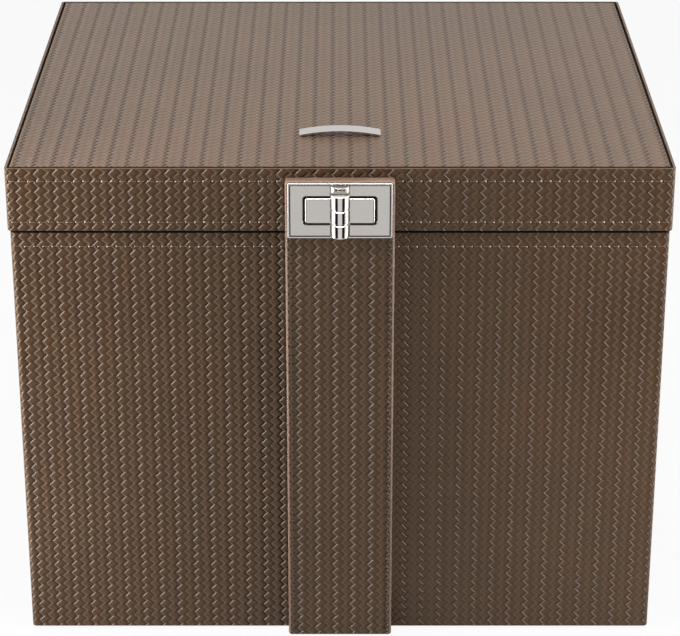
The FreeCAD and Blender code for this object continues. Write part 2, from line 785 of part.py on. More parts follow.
named(cut("strap_cover", strap_round, core_room, cover_window, *rivets), "strap_cover")
pad = slab("pad", pad_x, (strap_back, door_front), pad_z)
named(cut("strap_spacer", pad, *strap_screws), "strap_spacer")
named(group("strap_screws", *strap_screws), "strap_screws")
named(group("lock_plate_rivets", *rivets), "lock_plate_rivets")

# Turn lock: a bevelled plate with a window on the strap, a turret on the lid and a knob that turns in it.
lock, lock_pad = plate(
    "lock_plate", rectangle(s.plate_width, s.plate_height), s.plate_thickness,
    rectangle(s.window_width, s.window_height))
place(lock, 0, plate_back, plate_middle)
doc.recompute()
bevel = lock.newObject("PartDesign::Chamfer", "plate_bevel_edges")
bevel.Base = (lock_pad, [
    f"Edge{number}" for number, edge in enumerate(lock_pad.Shape.Edges, start=1)
    if edge.BoundBox.YMax < -s.plate_thickness.value + 0.01 and (
        abs(abs(edge.CenterOfMass.x) - s.plate_width.value / 2) < 0.01
        or abs(abs(edge.CenterOfMass.z) - s.plate_height.value / 2) < 0.01)])
bind(bevel, Size=s.plate_bevel)
lock.Tip = bevel
named(lock, "lock_plate")

plate_face = plate_back - s.plate_thickness
turret_face = plate_face - s.turret_proud
stud_reach = (lid_front, lid_front + s.band_leather + s.board / 2)
spindle_hole = ("spindle_hole", "y", s.spindle + s.spindle_clearance)
studs = [
    rod(f"turret_stud_{side}", "y", s.turret_stud, *stud_reach,
        ((s.turret_width / 2 - s.turret_stud_inset) * side, plate_middle))
    for side in (-1, 1)
]
turret, turret_pad = plate("turret", rectangle(s.turret_width, s.turret_height), lid_front - turret_face)
place(turret, 0, lid_front, plate_middle)
doc.recompute()
turret_bevel = turret.newObject("PartDesign::Chamfer", "turret_bevel_edges")
turret_bevel.Base = (turret_pad, [
    f"Edge{number}" for number, edge in enumerate(turret_pad.Shape.Edges, start=1)
    if edge.BoundBox.YMax < (turret_face - lid_front).value + 0.01])
bind(turret_bevel, Size=s.turret_edge)
turret.Tip = turret_bevel
turret_bore = rod(*spindle_hole, turret_face - s.knob_radius, lid_front + s.board, (0, plate_middle))
named(cut("lock_turret", fuse("turret_studded", turret, *studs), turret_bore), "lock_turret")

knob_half = s.knob_length / 2
knob_y = plate_face - s.knob_stand
groove_floor = s.knob_radius - s.knob_groove
knob_profile = [(0, -knob_half), (s.knob_radius - s.knob_edge, -knob_half), (s.knob_radius, -knob_half + s.knob_edge)]
for index in range(1, KNOB_GROOVES + 1):
    middle = s.knob_length * (index / (KNOB_GROOVES + 1.0) - 0.5)
    wide = s.knob_groove_width / 2
    knob_profile += [
        (s.knob_radius, middle - wide), (groove_floor, middle - wide / 2),
        (groove_floor, middle + wide / 2), (s.knob_radius, middle + wide)]
knob_profile += [(s.knob_radius, knob_half - s.knob_edge), (s.knob_radius - s.knob_edge, knob_half), (0, knob_half)]
knob = turned("knob", knob_profile)
place(knob, 0, knob_y, plate_middle)
frame_in = lid_front + s.band_leather + s.board
nut_face = frame_in + s.lining + s.nut_gap
spindle_ends = (knob_y, nut_face + s.nut_thickness)
spindle = rod("knob_spindle", "y", s.spindle, *spindle_ends, (0, plate_middle))
named(cut("turn_knob", knob, spindle), "turn_knob")
named(spindle, "knob_spindle")
nut = doc.addObject("Part::Prism", "nut")
nut.Polygon = 6
bind(nut, Circumradius=s.nut_radius, Height=s.nut_thickness)
turn(nut, (1, 0, 0), -90)
place(nut, 0, nut_face, plate_middle)
named(cut("spindle_nut", nut, spindle), "spindle_nut")

# Lid: four boards under a panel that lies inside the standing leatherette band.
band_in = lid_half - s.band_leather
frame_half = band_in - s.board
band_front = lid_front + s.band_leather
band_rear = lid_rear - s.band_leather
frame_rear = band_rear - s.board
frame_low = lid_bottom + s.leather
panel_under = lid_top - s.leather - s.panel_board
frame_z = (frame_low, panel_under)
frame_tools = [
    lid_rebate("frame_corner", False),
    rod("frame_spindle_hole", "y", s.spindle + s.spindle_clearance, lid_front, frame_in, (0, plate_middle)),
]
rails = [
    slab("frame_front", (-band_in, band_in), (band_front, frame_in), frame_z),
    slab("frame_rear", (-band_in, band_in), (frame_rear, band_rear), frame_z),
    slab("frame_left", (-band_in, -frame_half), (frame_in, frame_rear), frame_z),
    slab("frame_right", (frame_half, band_in), (frame_in, frame_rear), frame_z),
]
front_frame = cut("frame_front_bored", rails[0], frame_tools[1], *studs)
rear_frame = cut("frame_rear_stepped", rails[1], frame_tools[0], *lid_leaf_screws)
named(group("lid_frame", front_frame, rear_frame, rails[2], rails[3]), "lid_frame")

band = slab("band", (-lid_half, lid_half), (lid_front, lid_rear), (lid_bottom, lid_top))
band_round = rounded("band_round", band, s.corner_radius, lambda middle, along: abs(along.z) > 0.9)
band_tools = [
    slab("band_room", (-band_in, band_in), (band_front, band_rear), (frame_low, lid_top + s.lid_gap)),
    slab("band_mouth", (-frame_half, frame_half), (frame_in, frame_rear), (s.body_height, frame_low)),
    slab("band_leaf_seat", leaf_reach, (leaf_edge_y, lid_rear), (s.body_height, lid_leaf_z[1])),
    lid_rebate("band_corner", False),
    rod("band_spindle_hole", "y", s.spindle + s.spindle_clearance, lid_front, band_front, (0, plate_middle)),
]
named(cut("lid_band_cover", band_round, *band_tools, *studs, *lid_leaf_screws), "lid_band_cover")

panel_half = band_in - s.side_groove
panel_front = band_front + s.front_groove
panel_rear = band_rear - s.front_groove
panel_box = ((s.leather - panel_half, panel_half - s.leather),
             (panel_front + s.leather, panel_rear - s.leather), (panel_under, lid_top - s.leather))
badge_y = lid_front + s.badge_setback
chord = s.badge_length / 2
badge_pin_x = chord - s.badge_pin_inset
pin_rise = s.badge_bow * (size_of(1) - badge_pin_x * badge_pin_x / (chord * chord))
badge_pins = [
    rod(f"badge_pin_{side}", "z", s.badge_pin, lid_top - s.badge_pin_depth,
        lid_top + pin_rise + s.badge_thickness / 2, (badge_pin_x * side, badge_y))
    for side in (-1, 1)
]
named(cut("lid_top_board", slab("panel", *panel_box), *badge_pins), "lid_top_board")
panel_skin = slab("panel_skin", (-panel_half, panel_half), (panel_front, panel_rear), (panel_under, lid_top))
panel_round = rounded(
    "panel_round", panel_skin, s.panel_rounding, lambda middle, along: middle.z > lid_top.value - 0.01)
named(cut("lid_top_cover", panel_round, slab("panel_room", *panel_box), *badge_pins), "lid_top_cover")

# Badge: a plain strip bowed up over the lid, with a pin under each end.
bow_radius = (chord * chord + s.badge_bow * s.badge_bow) / (s.badge_bow * 2)
bow_z = lid_top + s.badge_bow - bow_radius
badge_y_reach = (badge_y - s.badge_width / 2, badge_y + s.badge_width / 2)
bow = rod("bow", "y", bow_radius + s.badge_thickness, *badge_y_reach, (0, bow_z))
under_bow = rod("under_bow", "y", bow_radius, *badge_y_reach, (0, bow_z))
badge_room = slab("badge_room", (-chord, chord), badge_y_reach, (lid_top, lid_top + s.badge_bow * 2))
strip = doc.addObject("Part::Common", "badge_strip")
strip.Base = cut("bow_ring", bow, under_bow)
strip.Tool = badge_room
named(fuse("badge", strip, *badge_pins), "badge")

# Inside of the lid: lining, mirror and its four mouldings.
lining_half = frame_half - s.lining
ceiling = panel_under - s.lining
lining_z = (frame_low, ceiling)
front_lining = slab("lid_lining_front", (-frame_half, frame_half), (frame_in, frame_in + s.lining), lining_z)
lining_hole = rod("lining_spindle_hole", "y", s.spindle + s.spindle_clearance,
                  frame_in, frame_in + s.lining, (0, plate_middle))
lid_linings = [
    slab("lid_lining_top", (-frame_half, frame_half), (frame_in, frame_rear), (ceiling, panel_under)),
    cut("lid_lining_front_bored", front_lining, lining_hole),
    slab("lid_lining_rear", (-frame_half, frame_half), (frame_rear - s.lining, frame_rear), lining_z),
    slab("lid_lining_left", (-frame_half, -lining_half), (frame_in + s.lining, frame_rear - s.lining), lining_z),
    slab("lid_lining_right", (lining_half, frame_half), (frame_in + s.lining, frame_rear - s.lining), lining_z),
]
named(group("lid_lining", *lid_linings), "lid_lining")
mirror_x = s.mirror_width / 2
mirror_y = s.mirror_depth / 2
mirror_z = (ceiling - s.mirror_glass, ceiling)
named(slab("mirror", (-mirror_x, mirror_x), (-mirror_y, mirror_y), mirror_z), "mirror")
frame_x = mirror_x - s.mirror_rebate
frame_y = mirror_y - s.mirror_rebate
moulding_z = (ceiling - s.mirror_frame_height, ceiling)
outer_x = frame_x + s.mirror_frame_width
outer_y = frame_y + s.mirror_frame_width
mirror_room = ((-mirror_x, mirror_x), (-mirror_y, mirror_y), mirror_z)
mouldings = [
    ("front", (-outer_x, outer_x), (-outer_y, -frame_y)),
    ("rear", (-outer_x, outer_x), (frame_y, outer_y)),
    ("left", (-outer_x, -frame_x), (-frame_y, frame_y)),
    ("right", (frame_x, outer_x), (-frame_y, frame_y)),
]
moulding_pieces = [
    cut(f"moulding_{word}_rebated", slab(f"moulding_{word}", x, y, moulding_z), slab(f"glass_{word}", *mirror_room))
    for word, x, y in mouldings
]
named(group("mirror_frame", *moulding_pieces), "mirror_frame")
named(cut("lid_hinge_lid_leaf", lid_leaf("lid_leaf", lid_leaf_z, 1), *lid_leaf_screws), "lid_hinge_lid_leaf")
named(group("lid_hinge_screws", *lid_leaf_screws), "lid_hinge_screws")

doc.recompute()
for item in doc.Objects:
    if "Invalid" in item.State or "Error" in item.State:
        raise RuntimeError(f"{item.Name} is {item.State}")
for label, item in nodes.items():
    if item.Shape.isNull() or not item.Shape.isValid() or not item.Shape.Solids:
        raise RuntimeError(f"{label} has no valid shape")
    item.Shape.exportStep(f"parts/{label}.step")
    print(label, len(item.Shape.Solids), round(item.Shape.Volume, 1))
print(len(nodes), "nodes")
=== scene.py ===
import math
import random

import bmesh
import bpy
from mathutils import Matrix, Vector


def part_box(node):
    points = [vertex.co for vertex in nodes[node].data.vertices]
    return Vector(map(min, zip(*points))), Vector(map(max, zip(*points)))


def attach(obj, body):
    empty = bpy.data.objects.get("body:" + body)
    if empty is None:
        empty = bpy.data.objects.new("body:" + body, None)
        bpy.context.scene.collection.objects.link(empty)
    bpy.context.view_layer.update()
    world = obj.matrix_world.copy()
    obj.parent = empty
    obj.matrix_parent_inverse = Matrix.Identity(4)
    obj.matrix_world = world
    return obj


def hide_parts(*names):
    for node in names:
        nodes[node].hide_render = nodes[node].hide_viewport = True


# A jewellery case in woven leatherette: lid, two front doors under a strap, turn lock, three drawers.
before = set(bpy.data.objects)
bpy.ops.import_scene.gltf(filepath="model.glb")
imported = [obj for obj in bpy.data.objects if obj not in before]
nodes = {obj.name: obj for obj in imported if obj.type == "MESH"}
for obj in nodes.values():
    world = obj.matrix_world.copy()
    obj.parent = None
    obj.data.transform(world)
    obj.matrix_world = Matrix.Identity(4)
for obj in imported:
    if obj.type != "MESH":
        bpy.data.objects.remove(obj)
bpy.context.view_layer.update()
mm = 0.001
hair = 0.01 * mm  # two points closer than this are level
quarter = math.pi / 2
print("frame loaded,", len(nodes), "nodes")


# ---- node helpers

def shade(red, green, blue):
    # a colour as read off a screen, 0 to 255, made linear
    def linear(channel):
        share = channel / 255
        return share / 12.92 if share <= 0.04045 else ((share + 0.055) / 1.055) ** 2.4
    return (linear(red), linear(green), linear(blue), 1.0)


class Graph:
    # short ways to add nodes to one tree
    def __init__(self, tree):
        self.tree = tree

    def add(self, kind, **settings):
        node = self.tree.nodes.new("ShaderNode" + kind)
        for name, value in settings.items():
            setattr(node, name, value)
        return node

    def feed(self, socket, value):
        if isinstance(value, bpy.types.NodeSocket):
            self.tree.links.new(value, socket)
        else:
            socket.default_value = value

    def math(self, operation, *values, clamp=False):
        node = self.add("Math", operation=operation, use_clamp=clamp)
        for socket, value in zip(node.inputs, values):
            self.feed(socket, value)
        return node.outputs[0]

    def blend(self, factor, first, second):
        # two colours mixed
        node = self.add("Mix", data_type="RGBA")
        for socket, value in zip((node.inputs[0], node.inputs[6], node.inputs[7]), (factor, first, second)):
            self.feed(socket, value)
        return node.outputs[2]

    def remap(self, value, low, high, toLow, toHigh):
        node = self.add("MapRange", interpolation_type="SMOOTHSTEP")
        for socket, number in zip(node.inputs, (value, low, high, toLow, toHigh)):
            self.feed(socket, number)
        return node.outputs[0]

    def noise(self, vector, scale, detail):
        node = self.add("TexNoise")
        for label, value in (("Vector", vector), ("Scale", scale), ("Detail", detail)):
            self.feed(node.inputs[label], value)
        return node.outputs[0]

    def group(self, tree, **values):
        node = self.add("Group")
        node.node_tree = tree
        for name, value in values.items():
            self.feed(node.inputs[name], value)
        return node.outputs


def newGroup(name, takes, gives):
    # a shader node group; takes and gives are {name: (socket type, default)}
    tree = bpy.data.node_groups.new(name, "ShaderNodeTree")
    for direction, sockets in (("INPUT", takes), ("OUTPUT", gives)):
        for label, (kind, value) in sockets.items():
            socket = tree.interface.new_socket(label, in_out=direction, socket_type="NodeSocket" + kind)
            if value is not None:
                socket.default_value = value
    graph = Graph(tree)
    return tree, graph, tree.nodes.new("NodeGroupInput").outputs, tree.nodes.new("NodeGroupOutput").inputs


def newMaterial(name, settings):
    # a Principled material; settings go straight onto the shader's sockets
    material = bpy.data.materials.new(name)
    material.use_nodes = True
    tree = material.node_tree
    tree.nodes.clear()
    graph = Graph(tree)
    shader = graph.add("BsdfPrincipled")
    output = graph.add("OutputMaterial")
    tree.links.new(shader.outputs[0], output.inputs[0])
    for label, value in settings.items():
        shader.inputs[label].default_value = value
    return material, graph, shader.inputs


def bump(graph, height, distance):
    node = graph.add("Bump")
    for label, value in (("Strength", 1.0), ("Distance", distance), ("Filter Width", 0.3), ("Height", height)):
        graph.feed(node.inputs[label], value)
    return node.outputs[0]


# ---- leatherette

weave = {
    # mm on the cloth; lags are shares of a row
    "columnPitch": 8.63,  # from one bright zigzag to the next
    "rowPitch": 4.5,
    "shift": 6.2,  # where the first zigzag stands from the middle
    "lag": -0.18,
    "brightSwing": 2.1,
    "brightWidth": 0.65,
    "softPlace": 4.3,  # the wavy line, after the zigzag
    "softLag": 0.34,
    "softSwing": 2.0,
    "softWidth": 0.95,
    "softDepth": 0.32,  # as a share of the zigzag's
    "softPaintedHighlight": 0.45,
    "dyePlace": -0.95,  # where the painted shade lies beside a line, and how far it reaches
    "dyeReach": 0.75,
    # where the painted highlight lies on a line, and how far it reaches
    "rubPlace": 0.1,
    "rubReach": 0.42,
    "domeReach": 2.0,
    "dome": 0.1,
    "emboss": 0.8 * mm,
}


def zigzag(graph, across, along, place, swing, lag, wavy=False):
    # signed distance in mm, at right angles, from a zigzag or wavy line that repeats across the cloth
    rowPitch, columnPitch = weave["rowPitch"], weave["columnPitch"]
    turn = graph.math("ADD", graph.math("DIVIDE", along, rowPitch), lag)
    if wavy:
        sway = graph.math("MULTIPLY_ADD", graph.math("COSINE", graph.math("MULTIPLY", turn, 2 * math.pi)),
                          -swing / 2, place)
    else:
        sway = graph.math("MULTIPLY_ADD", graph.math("PINGPONG", turn, 0.5), 2 * swing, -swing / 2 + place)
    offset = graph.math("DIVIDE", graph.math("SUBTRACT", across, sway), columnPitch)
    wrapped = graph.math("SUBTRACT", graph.math("FRACT", graph.math("ADD", offset, 0.5)), 0.5)
    square = math.cos(math.atan(2 * swing / rowPitch))
    return graph.math("MULTIPLY", wrapped, columnPitch * square)


def buildWeave():
    tree, graph, takes, gives = newGroup(
        "woven emboss", {"Cloth": ("Vector", None)},
        {label: ("Float", 0.0) for label in ("Height", "PaintedDark", "SoftPaintedDark", "PaintedLight")})
    split = graph.add("SeparateXYZ")
    graph.feed(split.inputs[0], takes["Cloth"])
    across = graph.math("MULTIPLY", split.outputs[0], 1000.0)
    along = graph.math("MULTIPLY", split.outputs[1], 1000.0)
    bright = zigzag(graph, across, along, weave["shift"], weave["brightSwing"], weave["lag"])
    soft = zigzag(graph, across, along, weave["shift"] + weave["softPlace"], weave["softSwing"],
                  weave["lag"] + weave["softLag"], wavy=True)
    walls, paintedShading, paintedHighlights = [], [], []
    for line, width in ((bright, weave["brightWidth"]), (soft, weave["softWidth"])):
        apart = graph.math("ABSOLUTE", line)
        walls.append(graph.remap(apart, 0.0, width, 1.0, 0.0))
        # each line gets a painted highlight along it, with painted shade along one side of it
        for masks, mark in ((paintedShading, "dye"), (paintedHighlights, "rub")):
            aside = graph.math("ABSOLUTE", graph.math("SUBTRACT", line, weave[mark + "Place"]))
            masks.append(graph.remap(aside, 0.0, weave[mark + "Reach"] * width / weave["brightWidth"], 1.0, 0.0))
    nearest = graph.math("MINIMUM", graph.math("ABSOLUTE", bright), graph.math("ABSOLUTE", soft))
    dome = graph.remap(nearest, 0.0, weave["domeReach"], 0.0, weave["dome"])
    deep = graph.math("MAXIMUM", walls[0], graph.math("MULTIPLY", walls[1], weave["softDepth"]))
    graph.feed(gives["Height"], graph.math("SUBTRACT", dome, deep))
    graph.feed(gives["PaintedDark"], paintedShading[0])
    graph.feed(gives["SoftPaintedDark"], paintedShading[1])
    softPaintedHighlight = graph.math("MULTIPLY", paintedHighlights[1], weave["softPaintedHighlight"])
    graph.feed(gives["PaintedLight"], graph.math("MAXIMUM", paintedHighlights[0], softPaintedHighlight))
    return tree


wovenEmboss = buildWeave()


leather = {
    "base": shade(72, 52, 35),
    # painted shade beside each emboss line, and a painted highlight along it
    "dye": shade(28, 17, 11),
    "paintedHighlights": shade(150, 126, 106),
    "sheen": (1, 0.88, 0.76, 1),
    "gloss": 0.4,
    "paintedShadeGloss": -0.34,  # added where the shade is painted
    "rough": 0.3,
    "grainRough": 0.14,
    "paintedHighlightRough": -0.04,
    "grain": 0.1,  # as a share of the emboss
    "grainScale": 1500,
    "patchScale": 22,
    "patchLift": 1.16,
}


def buildLeatherette(name, paintedShading, paintedShadingSoftly, paintedHighlights):
    # takes how strongly painted shade darkens the zigzag and the wavy line, and how strongly a painted highlight
    # lightens both
    material, graph, sockets = newMaterial(name, {"Specular Tint": leather["sheen"]})
    cloth = graph.add("TexCoord").outputs["UV"]
    pattern = graph.group(wovenEmboss, Cloth=cloth)
    space = graph.add("TexCoord").outputs["Object"]
    patches = graph.remap(graph.noise(space, leather["patchScale"], 3), 0.3, 0.7, 0.0, 1.0)
    grain = graph.noise(space, leather["grainScale"], 2)
    lighter = tuple(min(1, channel * leather["patchLift"]) for channel in leather["base"][:3]) + (1.0,)
    body = graph.blend(patches, leather["base"], lighter)
    # painted shade beside the zigzag and the wavy line, then a painted highlight along both
    dye = graph.math("MAXIMUM", graph.math("MULTIPLY", pattern["PaintedDark"], paintedShading),
                     graph.math("MULTIPLY", pattern["SoftPaintedDark"], paintedShadingSoftly))
    body = graph.blend(dye, body, leather["dye"])
    body = graph.blend(graph.math("MULTIPLY", pattern["PaintedLight"], paintedHighlights), body, leather["paintedHighlights"])
    graph.feed(sockets["Base Color"], body)
    gloss = graph.math("MULTIPLY_ADD", dye, leather["paintedShadeGloss"], leather["gloss"])
    graph.feed(sockets["Specular IOR Level"], gloss)
    rough = graph.math("MULTIPLY_ADD", grain, leather["grainRough"], leather["rough"])
    graph.feed(sockets["Roughness"], graph.math("MULTIPLY_ADD", pattern["PaintedLight"], leather["paintedHighlightRough"], rough))
    relief = graph.math("MULTIPLY_ADD", grain, leather["grain"], pattern["Height"])
    graph.feed(sockets["Normal"], bump(graph, relief, weave["emboss"]))
    return material


# the lid's top takes its own copy, with stronger painted shade along the zigzag and weaker painted highlight, for
# the light falling from behind it
leatherette = buildLeatherette("woven leatherette", 0.45, 0.28, 0.36)
topLeatherette = buildLeatherette("woven leatherette on top", 0.85, 0.1, 0.28)


# ---- the other finishes

def buildWear():
    # soft blotches and fine flecks that any finish can use
    tree, graph, takes, gives = newGroup(
        "handling marks", {"Place": ("Vector", None), "Size": ("Float", 40.0)},
        {"Blotch": ("Float", 0.0), "Fleck": ("Float", 0.0)})
    for label, factor, detail in (("Blotch", 1.0, 3.0), ("Fleck", 24.0, 2.0)):
        spots = graph.noise(takes["Place"], graph.math("MULTIPLY", takes["Size"], factor), detail)
        graph.feed(gives[label], graph.remap(spots, 0.3, 0.7, 0.0, 1.0))
    return tree


handlingMarks = buildWear()


def buildFinish(name, colours, rough, size, relief, settings):
    # a plain finish: two close colours in blotches, flecked roughness and a fine relief
    material, graph, sockets = newMaterial(name, settings)
    place = graph.add("TexCoord").outputs["Object"]
    marks = graph.group(handlingMarks, Place=place, Size=float(size))
    share = graph.math("MULTIPLY_ADD", marks["Fleck"], 0.5, graph.math("MULTIPLY", marks["Blotch"], 0.5))
    graph.feed(sockets["Base Color"], graph.blend(share, *(shade(*colour) for colour in colours)))
    graph.feed(sockets["Roughness"], graph.remap(share, 0.0, 1.0, *rough))
    graph.feed(sockets["Normal"], bump(graph, marks["Fleck"], relief))
    return material


finishes = {
    # name: (colours, roughness, size of the blotches, relief in metres, other settings)
    "nickel": (((188, 184, 179), (194, 190, 185)), (0.10, 0.16), 60, 0.004 * mm, {"Metallic": 1.0}),
    "knobNickel": (((206, 202, 196), (214, 211, 206)), (0.04, 0.08), 90, 0.001 * mm, {"Metallic": 1.0}),
    # painted dark reflection for the lock plate's sloping step faces
    "shadedNickel": (((52, 48, 45), (72, 67, 63)), (0.25, 0.4), 90, 0.002 * mm, {"Metallic": 1.0}),
    "steel": (((168, 163, 156), (186, 182, 176)), (0.25, 0.38), 120, 0.01 * mm, {"Metallic": 1.0}),
    "suede": (((186, 164, 138), (202, 182, 157)), (0.82, 0.95), 55, 0.18 * mm,
              {"Sheen Weight": 0.45, "Sheen Roughness": 0.4, "Specular IOR Level": 0.15}),
    "velvet": (((176, 152, 126), (197, 175, 149)), (0.75, 0.92), 90, 0.12 * mm,
               {"Sheen Weight": 0.9, "Sheen Roughness": 0.3, "Specular IOR Level": 0.1}),
    "fibreboard": (((158, 126, 92), (184, 150, 114)), (0.7, 0.88), 70, 0.08 * mm, {"Specular IOR Level": 0.3}),
    "felt": (((38, 31, 28), (58, 49, 44)), (0.9, 1.0), 160, 0.3 * mm,
             {"Sheen Weight": 0.3, "Sheen Roughness": 0.5, "Specular IOR Level": 0.1}),
    "mirror": (((226, 230, 230), (231, 234, 233)), (0.0, 0.02), 12, 0.0002 * mm, {"Metallic": 1.0}),
    "thread": (((104, 82, 66), (128, 104, 86)), (0.45, 0.6), 400, 0.05 * mm, {"Specular IOR Level": 0.5}),
    # painted highlight: the knots are the thread's brown made lighter, where they catch the light
    "knot": (((162, 142, 127), (188, 170, 156)), (0.4, 0.55), 400, 0.05 * mm, {"Specular IOR Level": 0.5}),
    # painted highlight: a lighter brown for the strap's top and rounded side edges, where they catch the light
    "paintedRimHighlight": (((104, 80, 66), (120, 96, 80)), (0.35, 0.5), 90, 0.05 * mm, {"Specular IOR Level": 0.5}),
    # painted shade: the strap's stitches sink into their holes, so thread and knots there are dark
    "paintedSunkStitchShade": (((46, 32, 24), (66, 48, 37)), (0.5, 0.7), 400, 0.05 * mm, {"Specular IOR Level": 0.4}),
    # painted shade: near-black for needle holes, the gap under the lid and the grooves round its panel
    "paintedRecessShade": (((24, 15, 10), (34, 22, 15)), (0.8, 0.9), 300, 0.02 * mm, {"Specular IOR Level": 0.2}),
}
made = {name: buildFinish(name, *values) for name, values in finishes.items()}
print("leatherette built")


# ---- pieces from bmeshes

def newPiece(bm, name, materials):
    mesh = bpy.data.meshes.new(name)
    bm.to_mesh(mesh)
    bm.free()
    for material in materials:
        mesh.materials.append(material)
    piece = bpy.data.objects.new(name, mesh)
    bpy.context.scene.collection.objects.link(piece)
    return piece


def finish(bm, name, body, materials, replaced=(), smooth=40, weighted=False):
    # a bmesh becomes a piece at the origin that rides on a body
    bmesh.ops.remove_doubles(bm, verts=bm.verts, dist=1e-6)
    piece = newPiece(bm, name, materials)
    piece.data.shade_smooth()
    piece.data.set_sharp_from_angle(angle=math.radians(smooth))
    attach(piece, body)
    if weighted:
        piece.modifiers.new("flat faces", "WEIGHTED_NORMAL").keep_sharp = True
    if replaced:
        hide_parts(*replaced)
    return piece


def edgesWhere(bm, test):
    return [edge for edge in bm.edges if test(*(vert.co for vert in edge.verts))]


def roundEdges(bm, edges, radius, segments, clamp=True):
    bmesh.ops.bevel(bm, geom=edges, offset=radius, offset_type="OFFSET", segments=segments, profile=0.5,
                    affect="EDGES", clamp_overlap=clamp, material=-1)


# ---- leather covers, made from the frame's own panels

lidLow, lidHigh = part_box("lid_band_cover")
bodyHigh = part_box("case_cover")[1]
doorLow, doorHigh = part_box("right_door_cover")
strapLow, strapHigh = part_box("strap_cover")
lidHalf, bodyHalf = lidHigh.x, bodyHigh.x

covers = {
    "lidRound": 0.8 * mm,
    "bodyRound": 0.6 * mm,
    "near": 0.05 * mm,  # counts as level with the top or the underside
    "lidFront": 4 * mm,  # how far back the lid's front reaches
    "doorFront": 3 * mm,
    "rim": 9 * mm,  # how wide the leather lies on a standing panel's top
    "lidDrop": 0.6 * mm,  # by how much the band's front is lower than its CAD solid
    "panelBack": 0.1 * mm,  # by how much the lid's panel stands back from it
}


def clothMap(bm, front, half, flatTop):
    # UVs in metres: across and along the cloth, which wraps from the front round the sides and over the top
    layer = bm.loops.layers.uv.new("cloth")
    for face in bm.faces:
        normal = face.normal
        axis = max(range(3), key=lambda index: abs(normal[index]))
        for loop in face.loops:
            x, y, z = loop.vert.co
            side = math.copysign(1, x)
            back = y - front
            if axis == 2 and flatTop:
                spot = (x, y)
            elif axis == 2:
                spot = (y, z + half - abs(x)) if abs(x) > half - covers["rim"] else (x, z + back)
            elif axis == 1 and normal.y > 0:
                spot = (-x, z)
            else:
                spot = (side * (abs(x) + back), z)
            loop[layer].uv = spot


def cover(name, body, node, radius, wanted, front, half, flatTop=False, trim=None, nudge=None):
    # the panel's mesh, merged, its flats joined, and the wanted level outer edges rounded;
    # trim is (finish, test of a face), nudge gives how far a point moves
    bm = bmesh.new()
    bm.from_mesh(nodes[node].data)
    bmesh.ops.remove_doubles(bm, verts=bm.verts, dist=1e-6)
    bmesh.ops.dissolve_limit(bm, angle_limit=math.radians(0.5), verts=bm.verts, edges=bm.edges)
    chosen = []
    for edge in bm.edges:
        first, second = (vert.co for vert in edge.verts)
        middle = (first + second) / 2
        outward = any(abs(face.normal.z) < 0.5 and face.normal.dot(Vector((middle.x, middle.y, 0))) > 0
                      for face in edge.link_faces)
        level = abs(first.z - second.z) < covers["near"]
        sharp = edge.is_convex and edge.calc_face_angle(0) > math.radians(50)
        if outward and level and sharp and wanted(middle):
            chosen.append(edge)
    roundEdges(bm, chosen, radius, 3, clamp=False)
    bmesh.ops.triangulate(bm, faces=[face for face in bm.faces if len(face.verts) > 4])
    if nudge:
        for vert in bm.verts:
            vert.co += nudge(vert.co)
    bm.normal_update()
    clothMap(bm, front, half, flatTop)
    skins = [topLeatherette if flatTop else leatherette]
    if trim:
        skins.append(made[trim[0]])
        for face in bm.faces:
            face.material_index = int(trim[1](face))
    finish(bm, name, body, skins, [node], weighted=True)


def atLidFront(at):
    return at.y < lidLow.y + covers["lidFront"]


def atLidTop(at):
    return at.z > lidHigh.z - covers["near"]


# the band's underside and the panel's edges are painted dark: painted shade of deep grooves; the band's top is one
# ring-shaped face, which rounding would close over the groove, so its top edges stay sharp
cover("lid_band_leather", "lid", "lid_band_cover", covers["lidRound"], lambda at: at.z < lidLow.z + covers["near"],
      lidLow.y, lidHalf, trim=("paintedRecessShade", lambda face: face.normal.z < -0.5),
      nudge=lambda at: Vector((0, 0, -covers["lidDrop"] if atLidFront(at) and atLidTop(at) else 0)))
cover("lid_top_leather", "lid", "lid_top_cover", covers["lidRound"], lambda at: atLidFront(at) and atLidTop(at),
      lidLow.y, lidHalf, flatTop=True, trim=("paintedRecessShade", lambda face: abs(face.normal.z) < 0.2),
      nudge=lambda at: Vector((0, covers["panelBack"] if atLidFront(at) else 0, 0)))
cover("case_leather", "case", "case_cover", covers["bodyRound"], lambda at: at.z > bodyHigh.z - covers["near"],
      doorLow.y, bodyHalf)
# the doors' tops are painted dark: painted shade of the gap under the lid
for word in ("left", "right"):
    cover(word + "_door_leather", word + "_door", word + "_door_cover", covers["bodyRound"],
          lambda at: at.y < doorLow.y + covers["doorFront"], doorLow.y, bodyHalf,
          trim=("paintedRecessShade", lambda face: face.normal.z > 0.5))
# the strap's top and rounded side edges are painted lighter: painted highlight
cover("strap_leather", "right_door", "strap_cover", 0, lambda at: False, strapLow.y, strapHigh.x,
      trim=("paintedRimHighlight", lambda face: face.normal.z > 0.3 or face.normal.y < -0.1 and abs(face.normal.x) > 0.3))
print("leather covers cut and rounded")


# ---- seams: rows of stitches with their needle holes

stitch = {
    "pitch": 4.25 * mm,
    "thread": 0.11 * mm,
    "knot": 0.42 * mm,  # where the thread dives into its needle hole
    "hole": 0.46 * mm,
    "sunk": 0.06 * mm,
    "aside": 1.7,  # from the hole's middle to the knot's, in knot radii, as the next two are
    "knotFlat": 0.9,
    "knotSizes": (0.8, 1.1),
    "drift": 0.08,  # mm, at most, up or down
}


def ellipsoid(bm, at, radii, index):
    ball = bmesh.ops.create_uvsphere(
        bm, u_segments=8, v_segments=5, radius=1, matrix=Matrix.Translation(at) @ Matrix.Diagonal((*radii, 1)))
    for face in {face for vert in ball["verts"] for face in vert.link_faces}:
        face.material_index = index


